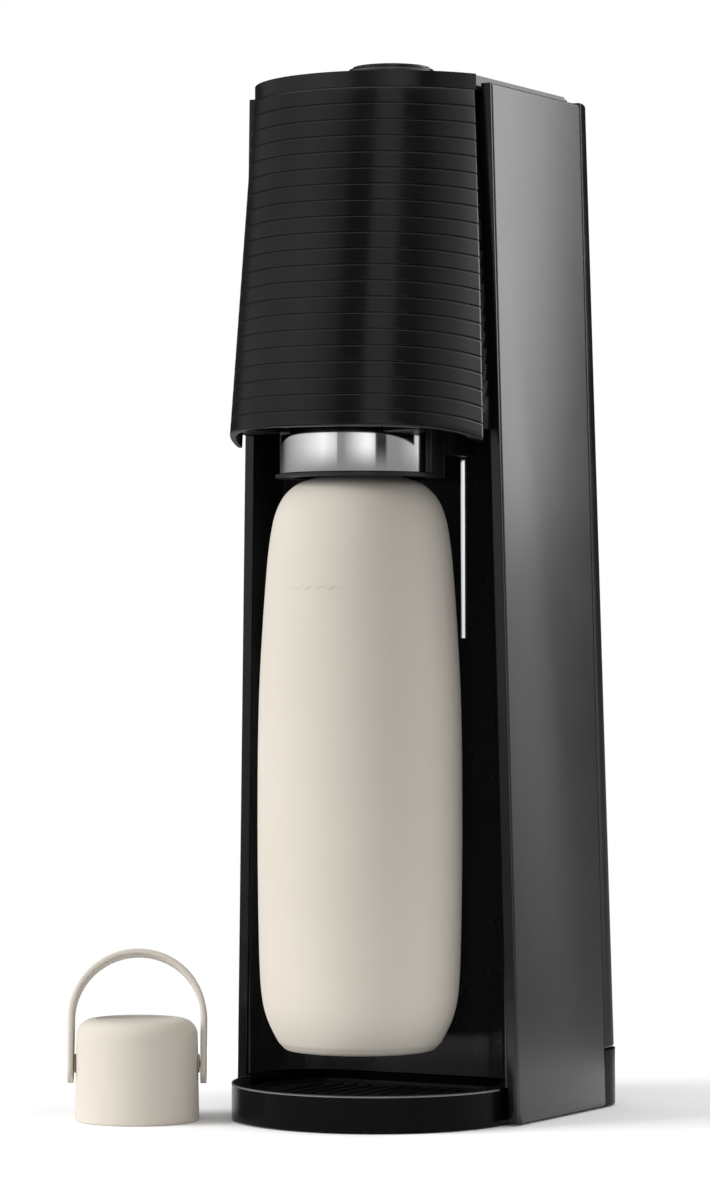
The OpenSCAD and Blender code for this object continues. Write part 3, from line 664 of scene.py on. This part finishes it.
def make_side_panels():
    """Each panel: a flat outer skin, a dark core, and a front strip with a fine seam beside the skin."""
    strip, seam, skin = 1.1, 0.6, 1.6
    for side, label in ((1, "right"), (-1, "left")):
        panel_plate(label + "_panel_skin", side, 0.0, skin, strip + seam, 0.0, 0.0, 0.7, "satin_black",
                    (label + "_side_panel",))
        panel_plate(label + "_panel_core", side, 0.9, PANEL_T - 0.1, 0.5, 0.3, 0.3, 0.3, "inner_black")
        rings = []
        bottom, top, ease = panel_low.z, panel_high.z, 2.5
        # (height, how far the strip's front steps back)
        levels = [(bottom + ease * (1 - math.cos(a)), ease * (1 - math.sin(a)))
                  for a in [math.radians(18 * k) for k in range(6)]]
        levels += [(bottom + (top - bottom) * k / 12, 0.0) for k in range(1, 12)]
        levels += [(top - 0.5, 0.0), (top - 0.12, 0.12), (top, 0.5)]
        for z, back in levels:
            y0, y1 = panel_front(z) + min(back, strip * 0.9), panel_front(z) + strip
            corners = [(0.0, y0), (PANEL_T, y0), (PANEL_T, y1), (0.0, y1)]
            section = rounded(corners, min(0.28, (y1 - y0) * 0.3), 4)
            rings.append([panel_point(side, x, y, z) for x, y in section])
        loft(label + "_panel_front_strip", rings, "gloss_black", "frame", sharp=50)


def make_painted_rim_highlight():
    """A grey bead along the base's top edge around its round front: a painted highlight, its lighter colour
    standing in for the thin line of light on the rim.
    """
    bead, proud, front_h, r = 0.45, 0.08, 15.0, 58.3
    section = [(r + proud - bead + bead * math.cos(a), front_h + proud - bead + bead * math.sin(a))
               for a in [math.radians(30 * k) for k in range(12)]]
    # grey plastic on the black base: the bead's colour is a painted highlight
    lathe("painted_rim_highlight", section + section[:1], "grey_plastic", "frame", (0, (base_low.y + r) * MM), steps=96,
          arc=(-88, 88), sharp=50)


def make_bay_highlight_strip():
    """A slim polished strip down the back of the bottle bay, its face turned a little to the right; it
    stands in for a reflected highlight on the bay's curved glossy wall, a painted reflection rather than a
    part.
    """
    x, y, wide, back, turn = 22.9, 46.0, 2.4, 46.95, math.radians(31.5)
    along = (math.cos(turn) * wide / 2, math.sin(turn) * wide / 2)
    plan = rounded([(x - along[0], y - along[1]), (x + along[0], y + along[1]), (x + along[0], back),
                    (x - along[0], back)], [0.25, 0.15, 0, 0], 3)
    rings = [[(px * MM, py * MM, z * MM) for px, py in plan] for z in (196, 270, 276)]
    # a made-up bright strip where there is only a reflected highlight: painted reflection
    loft("bay_highlight_strip", rings, "chrome", "frame", sharp=40)


# ---------------------------------------------------------------- the rest of the CAD nodes

# node: (look, width of its rounded edges in mm, steps across them)
BEVELLED = {"base_shell": ("base_black", 0.5, 4), "rear_cover": ("gloss_black", 1.1, 4),
            "top_plate": ("gloss_black", 0.8, 4), "column_frame": ("bay_gloss_painted_fill", 0.5, 3),
            "head_side_liners": ("base_black", 0.2, 2),
            "drip_tray": ("inner_black", 0.4, 3), "drip_grid": ("inner_black", 0.35, 3),
            "bottle_holder": ("inner_black", 0.3, 3), "cover_latch": ("satin_black", 0.6, 3),
            "head_underside": ("inner_black", 0.3, 2), "cylinder_lever": ("grey_plastic", 0.8, 3)}


def finish_cad_nodes():
    """Rounds the plain nodes that show, and gives every CAD node the look of its slot."""
    for node, (look, width, segments) in BEVELLED.items():
        bevelled(node, look, width, segments)
    slots = {p["node"]: p["material_slot"] for p in frame["record"]["subparts"]}
    for node, obj in NODES.items():
        obj.data.materials.clear()
        obj.data.materials.append(MAT[LOOK_OF_SLOT[slots[node]]])


# ---------------------------------------------------------------- stage, lights and camera

FLOOR_RADIUS = 0.34
# Brightness of the studio's walls by azimuth in degrees: 0 is in front of the machine, +90 on its right.
WALL_LOW = ((-180, 0.03), (-116, 0.03), (-98, 0.28), (-60, 0.6), (-25, 1.0), (-9, 0.75),
            (-4, 0.62), (-3, 0.25), (6, 0.27), (34, 0.95), (42, 1.0), (50, 0.8), (52, 0.03),
            (66, 0.03), (68, 0.26), (86, 0.27), (110, 0.5), (133, 0.9), (154, 1.2),
            (161, 0.12), (168, 0.03), (180, 0.03))
WALL_HIGH = ((-180, 0.02), (-125, 0.02), (-113, 0.13), (-87, 0.3), (-61, 0.42), (-41, 0.6),
             (-20, 0.5), (-8, 0.3), (-1, 0.06), (16, 0.07), (20, 0.6), (38, 0.6), (43, 0.1),
             (58, 0.1), (72, 0.35), (95, 0.9), (112, 2.0), (130, 1.7), (154, 1.9),
             (161, 0.2), (168, 0.02), (180, 0.02))
CEILING = 1.1
FLOOR_BOUNCE = 0.24                                    # brightness of what lies below the floor
LIMIT = 4.0                                            # a ramp holds brightness as a share of this


def math_node(tree, operation, *inputs):
    """One step of arithmetic on sockets or numbers."""
    node = tree.nodes.new("ShaderNodeMath")
    node.operation = operation
    for i, value in enumerate(inputs):
        if isinstance(value, (int, float)):
            node.inputs[i].default_value = value
        else:
            tree.links.new(value, node.inputs[i])
    return node.outputs[0]


def wall_ramp(tree, azimuth, stops):
    """The walls' brightness around the machine, as a share of LIMIT."""
    node = tree.nodes.new("ShaderNodeValToRGB")
    points = node.color_ramp.elements
    while len(points) < len(stops):
        points.new(0.5)
    for point, (degrees, level) in zip(points, stops):
        point.position = degrees / 360 + 0.5
        point.color = (level / LIMIT,) * 3 + (1,)
    tree.links.new(azimuth, node.inputs["Fac"])
    return node.outputs["Color"]


def blend_by_height(tree, height, start, end, below, above):
    """Goes from one brightness to another as the direction's height goes from start to end."""
    share = tree.nodes.new("ShaderNodeMapRange")
    share.interpolation_type = "SMOOTHSTEP"
    share.inputs["From Min"].default_value = start
    share.inputs["From Max"].default_value = end
    tree.links.new(height, share.inputs["Value"])
    mix = tree.nodes.new("ShaderNodeMix")
    tree.links.new(share.outputs["Result"], mix.inputs["Factor"])
    for value, socket in ((below, mix.inputs["A"]), (above, mix.inputs["B"])):
        if isinstance(value, (int, float)):
            socket.default_value = value
        else:
            tree.links.new(value, socket)
    return mix.outputs["Result"]


def make_studio():
    """A white backdrop, and soft walls and a ceiling that only light the scene and show in reflections."""
    world = bpy.data.worlds.new("studio")
    world.use_nodes = True
    bpy.context.scene.world = world
    tree = world.node_tree
    direction = tree.nodes.new("ShaderNodeTexCoord").outputs["Generated"]
    split = tree.nodes.new("ShaderNodeSeparateXYZ")
    tree.links.new(direction, split.inputs[0])
    x, y, z = split.outputs
    turn = math_node(tree, "ARCTAN2", x, math_node(tree, "MULTIPLY", y, -1.0))
    azimuth = math_node(tree, "ADD", math_node(tree, "DIVIDE", turn, 2 * math.pi), 0.5)
    low, high = wall_ramp(tree, azimuth, WALL_LOW), wall_ramp(tree, azimuth, WALL_HIGH)
    walls = blend_by_height(tree, z, 0.1, 0.2, low, high)
    walls = blend_by_height(tree, z, -0.12, 0.06, FLOOR_BOUNCE / LIMIT, walls)
    light = blend_by_height(tree, z, 0.45, 0.8, walls, CEILING / LIMIT)
    seen = tree.nodes.new("ShaderNodeLightPath").outputs["Is Camera Ray"]
    strength = math_node(tree, "MULTIPLY", light, LIMIT)
    back = tree.nodes["Background"]
    mix = tree.nodes.new("ShaderNodeMix")
    mix.inputs["B"].default_value = 1.0
    tree.links.new(seen, mix.inputs["Factor"])
    tree.links.new(strength, mix.inputs["A"])
    tree.links.new(mix.outputs["Result"], back.inputs["Strength"])
    back.inputs["Color"].default_value = (1, 1, 1, 1)


def make_floor():
    """A plain round of pale paper."""
    mesh = bpy.data.meshes.new("studio_floor")
    steps = 96
    edge = [(FLOOR_RADIUS * math.cos(a), FLOOR_RADIUS * math.sin(a), 0) for a in circle_angles(steps)]
    mesh.from_pydata(edge, [], [tuple(range(steps))])
    floor = bpy.data.objects.new("studio_floor", mesh)
    bpy.context.scene.collection.objects.link(floor)
    mesh.materials.append(MAT["floor_paper"])


def area_light(name, at, aim, size, power, in_gloss):
    """A soft light that the camera doesn't see; in_gloss says if it shows in the gloss."""
    data = bpy.data.lights.new(name, "AREA")
    data.shape = "RECTANGLE"
    data.size, data.size_y = size
    data.energy = power
    lamp = bpy.data.objects.new(name, data)
    bpy.context.scene.collection.objects.link(lamp)
    lamp.location = at
    lamp.rotation_euler = (Vector(aim) - Vector(at)).to_track_quat("-Z", "Y").to_euler()
    lamp.visible_camera = False
    lamp.visible_glossy = in_gloss


def make_lights():
    """A key from the front left, a small light for the right-hand panel's sheen, and a weak fill."""
    area_light("key_left", (-1.4, -1.3, 0.75), (0, 0, 0.16), (1.1, 1.1), 52, False)
    area_light("panel_light", (0.47, 0.6, 0.6), (0.06, 0.05, 0.3), (0.42, 0.6), 1.6, True)
    area_light("fill_right", (1.5, -0.5, 0.5), (0, 0, 0.2), (0.5, 0.9), 5, False)


def make_camera():
    """The view is level, from the front right, and far enough away for a long lens."""
    turn = math.radians(29.15)
    distance, offset, forward, height = 1.7326, 0.0008, 0.0025, 0.1915
    focal, sensor, shift = 128.4, 36, 49 / 1200
    cam = bpy.data.cameras.new("camera")
    cam.sensor_width = sensor
    cam.lens = focal
    cam.shift_y = shift
    obj = bpy.data.objects.new("camera", cam)
    bpy.context.scene.collection.objects.link(obj)
    obj.location = (distance * math.sin(turn) - offset * math.cos(turn),
                    -distance * math.cos(turn) - offset * math.sin(turn) - forward, height)
    obj.rotation_euler = (math.pi / 2, 0, turn)
    bpy.context.scene.camera = obj


make_head_cover()
make_button()
make_bottle()
make_fill_line()
make_collar()
cap_centre = make_cap()
bail_along, bail_across = make_bail(cap_centre)
make_bail_pads(cap_centre, bail_along, bail_across)
make_side_panels()
make_painted_rim_highlight()
make_bay_highlight_strip()
make_spring()
finish_cad_nodes()
make_floor()
make_studio()
make_lights()
make_camera()
bpy.context.scene.view_settings.view_transform = "Standard"
